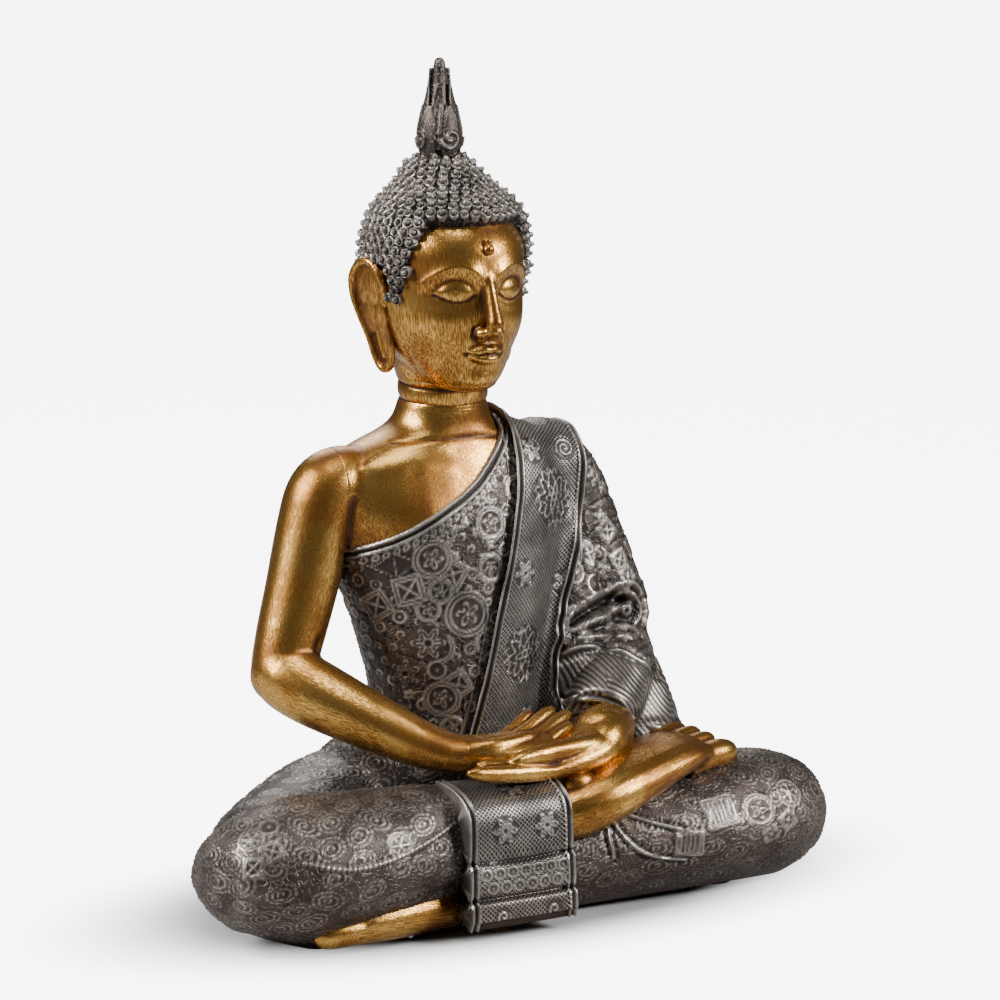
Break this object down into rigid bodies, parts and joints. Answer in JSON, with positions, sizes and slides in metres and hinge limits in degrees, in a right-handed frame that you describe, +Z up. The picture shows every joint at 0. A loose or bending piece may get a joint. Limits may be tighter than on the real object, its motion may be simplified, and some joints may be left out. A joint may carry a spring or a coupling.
{
  "type": "buddha statue",
  "caption": "Seated meditating figure in cast resin, cross-legged with hands resting in the lap, flame-topped curled hair and an embossed robe over one shoulder.",
  "frame": {"origin": "on the floor, under the middle of the whole figure", "axes": "+Z up; the figure faces -Y and its left hand side is +X"},
  "size_m": [0.337, 0.1722, 0.4],
  "materials": {
    "gold_skin": "antique gold paint with brown brush strokes, satin",
    "embossed_robe": "charcoal paint dry-brushed with silver, satin",
    "curled_hair": "dark grey-brown paint dry-brushed with silver, satin",
    "dowel_steel": "plain steel",
    "plate_board": "dark stained board",
    "bung_rubber": "matt black",
    "pad_felt": "black felt"
  },
  "bodies": {
    "root": {"chest_casting": "gold_skin", "robe_torso": "embossed_robe", "shoulder_sash": "embossed_robe", "head_casting": "gold_skin", "hair_cap": "curled_hair", "left_ear": "gold_skin", "right_ear": "gold_skin", "urna": "gold_skin", "flame_finial": "curled_hair", "left_sleeve": "embossed_robe", "right_arm": "gold_skin", "left_hand": "gold_skin", "right_hand": "gold_skin", "right_foot": "gold_skin", "left_foot": "gold_skin", "hanging_cloth": "embossed_robe", "lap_casting": "embossed_robe", "base_plate": "plate_board", "rubber_bung": "bung_rubber", "felt_pads": "pad_felt", "neck_dowel": "dowel_steel", "waist_dowels": "dowel_steel", "shoulder_dowel": "dowel_steel", "sleeve_dowel": "dowel_steel", "right_wrist_pin": "dowel_steel", "left_wrist_pin": "dowel_steel", "foot_pins": "dowel_steel", "cloth_pins": "dowel_steel", "finial_pin": "dowel_steel"}
  },
  "joints": []
}
